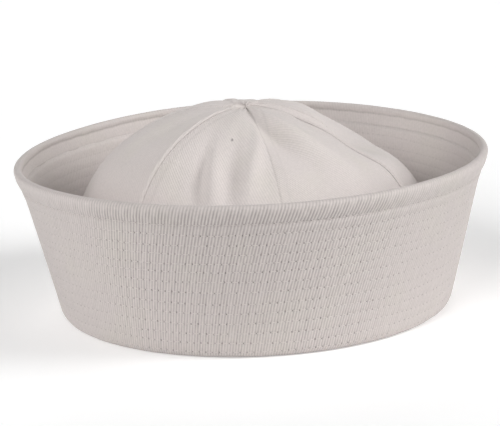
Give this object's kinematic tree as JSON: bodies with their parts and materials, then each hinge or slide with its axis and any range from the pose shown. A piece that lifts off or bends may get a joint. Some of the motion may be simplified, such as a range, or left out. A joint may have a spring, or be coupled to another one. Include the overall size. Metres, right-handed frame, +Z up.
{
  "type": "sailor cap",
  "caption": "Round white cotton sailor cap: a soft gored crown inside a tall turned-up brim with a stitched hem, resting on its fold.",
  "frame": {"origin": "centre of the box's bottom, on the surface that the cap rests on, under the middle of the head opening", "axes": "+Z up through the crown, -Y towards the front of the cap, +X to the right in the front view"},
  "size_m": [0.229, 0.235, 0.0995],
  "materials": {
    "crown_drill": "white cotton drill, fine diagonal twill",
    "brim_drill": "white cotton drill, quilted with rows of stitching",
    "hem_drill": "white cotton drill, turned and stitched edge"
  },
  "bodies": {
    "root": {"crown_gore_1": "crown_drill", "crown_gore_2": "crown_drill", "crown_gore_3": "crown_drill", "crown_gore_4": "crown_drill", "crown_gore_5": "crown_drill", "crown_gore_6": "crown_drill", "brim_outer_ply": "brim_drill", "brim_inner_ply": "brim_drill", "rim_hem": "hem_drill"}
  },
  "joints": []
}
